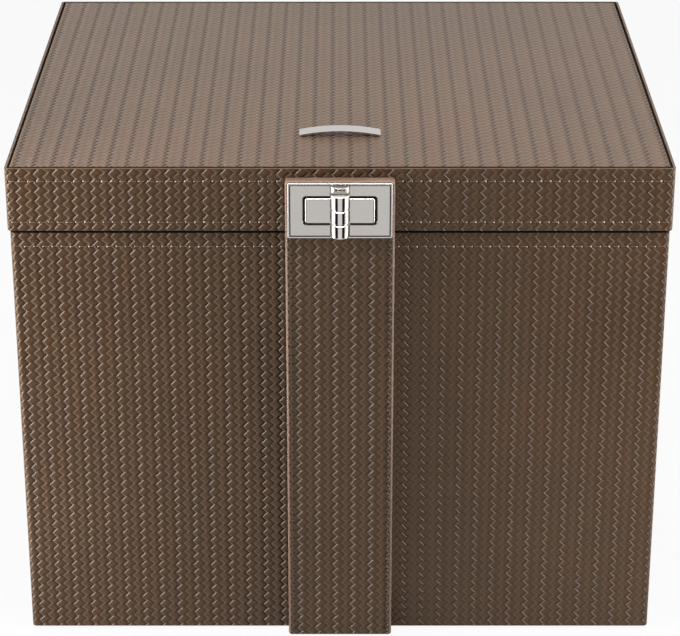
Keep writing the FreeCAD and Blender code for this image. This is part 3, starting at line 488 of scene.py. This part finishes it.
def stitchRow(name, body, runs, thread="thread", knot="knot"):
    # stitches on a front face; runs are (start, end) pairs; each knot lies on its hole's inner side
    bm = bmesh.new()
    for start, end in runs:
        start, end = Vector(start), Vector(end)
        count = max(1, round((end - start).length / stitch["pitch"]))
        step = (end - start) / count
        for index in range(count):
            hole = start + step * index
            inward = -math.copysign(1, hole.x + step.x / 2)
            aside = Vector((inward * stitch["knot"] * stitch["aside"], 0, 0))
            if abs(step.z) > abs(step.x):
                aside = Vector((0, 0, stitch["knot"] * stitch["aside"]))
            size = stitch["knot"] * random.uniform(*stitch["knotSizes"])
            drift = Vector((0, 0, random.uniform(-stitch["drift"], stitch["drift"]) * mm))
            # the hole is a flat dark disc: painted shade
            ellipsoid(bm, hole, (stitch["hole"], stitch["sunk"], stitch["hole"]), 1)
            # on the lid and doors the knot's finish is lighter than the thread: painted highlight
            ellipsoid(bm, hole + aside + drift, (size, size * stitch["knotFlat"], size), 2)
            reach = step.length / 2
            radii = [stitch["thread"] + abs(part) * (reach - stitch["thread"]) for part in step.normalized()]
            ellipsoid(bm, hole + step / 2 + drift, radii, 0)
    return finish(bm, name, body, [made[thread], made["paintedRecessShade"], made[knot]])


random.seed(7)
lidFront, doorFront, strapFront = lidLow.y, doorLow.y, strapLow.y
seam = {
    "lidUpper": 6.8 * mm,  # below the lid's top
    "lidLower": 4.7 * mm,  # above the lid's underside
    "door": 7.15 * mm,  # below the doors' top
    "strap": 2.9 * mm,  # inside the strap's edges
    "end": 1.6 * mm,
    "doorInner": 2.5 * mm,
    "strapFoot": 4 * mm,
    "strapHead": 2 * mm,
}
lidEnd = lidHalf - seam["end"]
rows = [lidHigh.z - seam["lidUpper"], lidLow.z + seam["lidLower"]]
stitchRow("lid_stitches", "lid", [((-lidEnd, lidFront, z), (lidEnd, lidFront, z)) for z in rows])
for side, word in ((-1, "left"), (1, "right")):
    inner, outer = seam["doorInner"] * side, (bodyHalf - seam["end"]) * side
    z = doorHigh.z - seam["door"]
    stitchRow(word + "_door_stitches", word + "_door", [((inner, doorFront, z), (outer, doorFront, z))])
strapX = strapHigh.x - seam["strap"]
foot, head = strapLow.z + seam["strapFoot"], strapHigh.z - seam["strapHead"]
strapRuns = [((x, strapFront, foot), (x, strapFront, head)) for x in (-strapX, strapX)]
# the strap's stitches are dark all over: painted shade of their sunk holes
stitchRow("strap_stitches", "right_door", strapRuns, "paintedSunkStitchShade", "paintedSunkStitchShade")
print("seams stitched")


# ---- turn lock

lock = {
    "rim": 0.8 * mm,
    "round": 0.4 * mm,
    "step": 0.55 * mm,
    "stepDepth": 0.3 * mm,
    "plateCorner": 0.6 * mm,
    "windowGap": 0.8 * mm,
    "windowCorner": 1.2 * mm,
    "windowRim": 0.8 * mm,
    "blockCorner": 1.2 * mm,
    "blockRim": 0.95 * mm,
    "knobRim": 0.45 * mm,
    "ringDepth": 0.5 * mm,
    "ringWidth": 1.1 * mm,
    "ringEase": 0.12 * mm,
    "rings": 2,
}


def makePlate():
    low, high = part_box("lock_plate")
    blockLow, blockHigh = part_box("lock_turret")
    middle = (low.z + high.z) / 2
    windowX = blockHigh.x + lock["windowGap"]
    windowZ = (blockHigh.z - blockLow.z) / 2 + lock["windowGap"]
    border = (0, lock["rim"], lock["rim"] + lock["step"])
    acrossAt = [low.x + inset for inset in border] + [-windowX, windowX] + [high.x - inset for inset in border[::-1]]
    upAt = [low.z + inset for inset in border] + [middle - windowZ, middle + windowZ]
    upAt += [high.z - inset for inset in border[::-1]]
    count = len(acrossAt) - 1
    bm = bmesh.new()
    bmesh.ops.create_grid(bm, x_segments=count, y_segments=count, size=count / 2)
    bmesh.ops.delete(bm, geom=[face for face in bm.faces if face.calc_center_median().length < 0.1],
                     context="FACES")
    ranks = {vert: (round(vert.co.x + count / 2), round(vert.co.y + count / 2)) for vert in bm.verts}
    for vert, (column, row) in ranks.items():
        vert.co = (acrossAt[column], low.y, upAt[row])
    rear = bmesh.ops.extrude_face_region(bm, geom=bm.faces[:], use_keep_orig=True)
    moved = [item for item in rear["geom"] if isinstance(item, bmesh.types.BMVert)]
    bmesh.ops.translate(bm, verts=moved, vec=(0, high.y - low.y, 0))
    for vert, spot in ranks.items():
        if all(1 < rank < count - 1 for rank in spot):
            vert.co.y += lock["stepDepth"]
    bmesh.ops.recalc_face_normals(bm, faces=bm.faces[:])
    for face in bm.faces:
        # the step's sloping faces take the dark nickel: painted dark reflection
        face.material_index = 1 if 0.1 < abs(face.normal.y) < 0.99 else 0

    def inWindow(at):
        return abs(at.x) < windowX + hair and abs(at.z - middle) < windowZ + hair

    corners = edgesWhere(bm, lambda a, b: abs(a.y - b.y) > hair and inWindow(a) and inWindow(b))
    roundEdges(bm, corners, lock["windowCorner"], 4)
    corners = edgesWhere(bm, lambda a, b: abs(a.y - b.y) > hair and abs(abs(a.x) - high.x) < hair
                         and abs(abs(a.z - middle) - (high.z - middle)) < hair)
    roundEdges(bm, corners, lock["plateCorner"], 3)
    rim = [edge for edge in bm.edges if all(vert.co.y < low.y + hair for vert in edge.verts)
           and edge.calc_face_angle(0) > math.radians(60)]
    roundEdges(bm, rim, lock["round"], 3)
    lip = [edge for edge in bm.edges if all(inWindow(vert.co) and vert.co.y < low.y + lock["stepDepth"] + hair
                                            for vert in edge.verts)
           and edge.calc_face_angle(0) > math.radians(60)]
    roundEdges(bm, lip, lock["windowRim"], 3)
    finish(bm, "lock_plate_face", "right_door", [made["nickel"], made["shadedNickel"]],
           ["lock_plate"], weighted=True)


def makeBlock():
    low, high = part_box("lock_turret")
    front, back = low.y, lidFront
    bm = bmesh.new()
    size = (high.x - low.x, back - front, high.z - low.z)
    centre = ((high.x + low.x) / 2, (front + back) / 2, (high.z + low.z) / 2)
    bmesh.ops.create_cube(bm, size=1, matrix=Matrix.Translation(centre) @ Matrix.Diagonal((*size, 1)))
    roundEdges(bm, edgesWhere(bm, lambda a, b: abs(a.y - b.y) > hair), lock["blockCorner"], 4)
    rim = [edge for edge in bm.edges if all(vert.co.y < front + hair for vert in edge.verts)]
    roundEdges(bm, rim, lock["blockRim"], 3)
    finish(bm, "lock_block", "lid", [made["nickel"]], ["lock_turret"], weighted=True)


def makeKnob():
    low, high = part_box("turn_knob")
    radius, rim = (high.x - low.x) / 2, lock["knobRim"]
    centre = (low + high) / 2
    half = (high.z - low.z) / 2
    turns = (0.5, 1.05, quarter)
    outline = [(0, -half), (radius - rim, -half)]
    outline += [(radius - rim + rim * math.sin(angle), -half + rim - rim * math.cos(angle)) for angle in turns]
    ring = lock["ringWidth"] / 2
    groove = ((radius, ring), (radius - lock["ringEase"], ring * 0.8), (radius - lock["ringDepth"], ring * 0.35))
    for index in range(1, lock["rings"] + 1):
        z = half * (2 * index / (lock["rings"] + 1) - 1)
        outline += [(across, z - aside) for across, aside in groove]
        outline += [(across, z + aside) for across, aside in reversed(groove)]
    outline += [(radius - rim + rim * math.sin(angle), half - rim + rim * math.cos(angle))
                for angle in reversed(turns)]
    outline += [(radius - rim, half), (0, half)]
    bm = bmesh.new()
    points = [bm.verts.new((across, 0, up)) for across, up in outline]
    edges = [bm.edges.new(pair) for pair in zip(points, points[1:])]
    bmesh.ops.spin(bm, geom=points + edges, cent=(0, 0, 0), axis=(0, 0, 1), angle=2 * math.pi, steps=56,
                   use_merge=True)
    bmesh.ops.remove_doubles(bm, verts=bm.verts, dist=1e-6)
    bmesh.ops.recalc_face_normals(bm, faces=bm.faces[:])
    bmesh.ops.translate(bm, verts=bm.verts[:], vec=centre)
    finish(bm, "turn_knob_grip", "knob", [made["knobNickel"]], ["turn_knob"], 35)


makePlate()
makeBlock()
makeKnob()
print("turn lock made")


# ---- ring rolls: velvet over foam, eight side by side

rolls = {
    "count": 8,
    "gap": 0.3 * mm,
    "crown": 7 * mm,
    "end": 2.2 * mm,
    "cuts": 11,
    "waist": 0.7 * mm,  # how far the foam gives at the ends, down and as a share of the width
    "pinch": 0.03,
}


def makeRoll(index):
    low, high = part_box("ring_rolls")
    pitch = (high.y - low.y + rolls["gap"]) / rolls["count"]
    start = low.y + pitch * index
    size = Vector((high.x - low.x, pitch - rolls["gap"], high.z - low.z))
    centre = Vector((0, start + size.y / 2, (low.z + high.z) / 2))
    bm = bmesh.new()
    bmesh.ops.create_cube(bm, size=1, matrix=Matrix.Translation(centre) @ Matrix.Diagonal((*size, 1)))
    top = edgesWhere(bm, lambda a, b: a.z > high.z - hair and b.z > high.z - hair and abs(a.x - b.x) > hair)
    roundEdges(bm, top, rolls["crown"], 6)
    ends = [edge for edge in bm.edges
            if all(abs(vert.co.x) > high.x - hair for vert in edge.verts) and edge.calc_face_angle(0) > 0.5]
    roundEdges(bm, ends, rolls["end"], 3)
    long = edgesWhere(bm, lambda a, b: abs(a.x - b.x) > size.x * 0.5)
    bmesh.ops.subdivide_edges(bm, edges=long, cuts=rolls["cuts"], use_grid_fill=True)
    # the foam gives a little towards the ends
    for vert in bm.verts:
        share = math.cos(vert.co.x / high.x * quarter)
        lift = (vert.co.z - low.z) / size.z
        vert.co.z -= rolls["waist"] * lift * (1 - share)
        vert.co.y += (centre.y - vert.co.y) * rolls["pinch"] * (1 - share)
    piece = finish(bm, f"ring_roll_{index + 1}", "case", [made["velvet"]], ["ring_rolls"], 60)
    smooth = piece.modifiers.new("plump", "SUBSURF")
    smooth.levels = smooth.render_levels = 1


for index in range(rolls["count"]):
    makeRoll(index)
print("ring rolls padded")


# ---- finishes for the frame's own nodes

byWord = (
    ("mirror_frame", "suede"), ("mirror", "mirror"), ("felt", "felt"), ("pull", "nickel"), ("badge", "nickel"),
    ("pegs", "nickel"), ("rivets", "nickel"), ("knob_spindle", "nickel"), ("hinge", "steel"), ("screws", "steel"),
    ("nut", "steel"), ("lining", "suede"), ("partitions", "suede"), ("divider", "suede"), ("shelves", "suede"),
    ("drawer_box", "suede"), ("board", "fibreboard"), ("panel", "fibreboard"), ("rail", "fibreboard"),
    ("deck", "fibreboard"), ("lid_frame", "fibreboard"), ("core", "fibreboard"), ("spacer", "fibreboard"),
)
for name, node in nodes.items():
    finishName = next((finishName for word, finishName in byWord if word in name), None)
    if finishName is None:
        continue
    for index in range(len(node.data.materials)):
        node.material_slots[index].material = made[finishName]
print("frame nodes finished")


# ---- the photographer's side: the camera was solved from the corners in the photo

camera = bpy.data.objects.new("camera", bpy.data.cameras.new("camera"))
camera.data.lens = 130.99
camera.data.sensor_width = 36
camera.data.clip_end = 20
camera.location = (0, -1.2005, 0.6482)
camera.rotation_euler = (math.radians(65.95), 0, 0)
bpy.context.scene.collection.objects.link(camera)
bpy.context.scene.camera = camera
bpy.context.scene.view_settings.view_transform = "Standard"


def whiteToEye(graph):
    # 1 for what the camera, a mirror or glass sees, 0 for light that falls on things
    path = graph.add("LightPath")
    seen = graph.math("ADD", path.outputs["Is Camera Ray"], path.outputs["Is Glossy Ray"])
    return graph.math("ADD", seen, path.outputs["Is Transmission Ray"], clamp=True)


def buildFloor():
    material = bpy.data.materials.new("studio floor")
    material.use_nodes = True
    material.node_tree.nodes.clear()
    graph = Graph(material.node_tree)
    plain = graph.add("BsdfDiffuse")
    plain.inputs["Color"].default_value = (0.48, 0.475, 0.47, 1)
    glow = graph.add("Emission")
    glow.inputs["Color"].default_value = (1, 1, 1, 1)
    glow.inputs["Strength"].default_value = 1
    both = graph.add("MixShader")
    graph.feed(both.inputs[0], graph.math("MULTIPLY", whiteToEye(graph), 0.93))
    graph.feed(both.inputs[1], plain.outputs[0])
    graph.feed(both.inputs[2], glow.outputs[0])
    graph.feed(graph.add("OutputMaterial").inputs[0], both.outputs[0])
    bm = bmesh.new()
    bmesh.ops.create_grid(bm, x_segments=1, y_segments=1, size=4)
    floor = newPiece(bm, "floor", [material])


buildFloor()

world = bpy.data.worlds.new("studio")
bpy.context.scene.world = world
world.use_nodes = True
world.node_tree.nodes.clear()
worldGraph = Graph(world.node_tree)
backgrounds = []
for colour, strength in (((1, 0.98, 0.95, 1), 0.22), ((1, 1, 1, 1), 1.0)):
    background = worldGraph.add("Background")
    background.inputs[0].default_value = colour
    background.inputs[1].default_value = strength
    backgrounds.append(background)
worldMix = worldGraph.add("MixShader")
worldGraph.feed(worldMix.inputs[0], whiteToEye(worldGraph))
for index, background in enumerate(backgrounds):
    worldGraph.feed(worldMix.inputs[index + 1], background.outputs[0])
worldGraph.feed(worldGraph.add("OutputWorld").inputs[0], worldMix.outputs[0])


def softbox(name, place, target, size, power, spread):
    lamp = bpy.data.lights.new(name, "AREA")
    lamp.shape = "RECTANGLE"
    lamp.size, lamp.size_y = size
    lamp.energy = power
    lamp.spread = math.radians(spread)
    holder = bpy.data.objects.new(name, lamp)
    holder.location = place
    holder.rotation_euler = (Vector(target) - Vector(place)).to_track_quat("-Z", "Y").to_euler()
    bpy.context.scene.collection.objects.link(holder)


lamps = {
    # name: (place, target, size in metres, watts, spread in degrees)
    "overhead": ((0, 0.2, 1.2), (0, 0, 0.2), (1.2, 0.9), 4.6, 180),
    "left top light": ((-0.45, 0.15, 0.5), (0, 0.02, 0.22), (0.2, 0.3), 1.3, 180),
    "right top light": ((0.45, 0.15, 0.5), (0, 0.02, 0.22), (0.2, 0.3), 1.3, 180),
    "front strip": ((0, -0.26, 0.95), (0, -0.13, 0.1), (0.9, 0.08), 3.0, 120),
    "left softbox": ((-0.4, -0.25, 0.25), (-0.06, -0.13, 0.12), (0.26, 0.46), 0.52, 150),
    "right softbox": ((0.43, -0.26, 0.25), (0.06, -0.13, 0.12), (0.26, 0.46), 0.45, 150),
    "left edge light": ((-0.215, -0.165, 0.2), (0.03, -0.155, 0.19), (0.06, 0.4), 0.34, 100),
    "right edge light": ((0.215, -0.165, 0.2), (-0.03, -0.155, 0.19), (0.06, 0.4), 0.2, 100),
}
for name, values in lamps.items():
    softbox(name, *values)


def darkCard(name, place, size, turned):
    # a black card that only shows in polished metal and gloss
    bm = bmesh.new()
    bmesh.ops.create_grid(bm, x_segments=1, y_segments=1, size=0.5)
    bmesh.ops.transform(bm, verts=bm.verts[:], matrix=(
        Matrix.Translation(place) @ Matrix.Rotation(turned, 4, "Z") @ Matrix.Rotation(quarter, 4, "X")
        @ Matrix.Diagonal((*size, 1, 1))))
    card = newPiece(bm, name, [cardMaterial])
    card.visible_camera = card.visible_diffuse = card.visible_shadow = card.visible_transmission = False


def buildCard():
    # black for reflections from close by, clear for the mirror farther off
    material, graph, sockets = newMaterial(
        "black card", {"Specular IOR Level": 0.1, "Base Color": (0.01, 0.01, 0.01, 1)})
    closeBy = graph.math("LESS_THAN", graph.add("LightPath").outputs["Ray Length"], 0.42)
    graph.feed(sockets["Alpha"], closeBy)
    return material


cardMaterial = buildCard()
for side in (-1, 1):
    angle = math.radians(40) * side
    darkCard(f"card_{side}", (0.3 * math.sin(angle), -0.14 - 0.3 * math.cos(angle), 0.13), (0.17, 0.26), angle)
darkCard("card_front", (0, -0.45, 0.39), (0.14, 0.12), 0)
print("camera, floor and lamps placed")
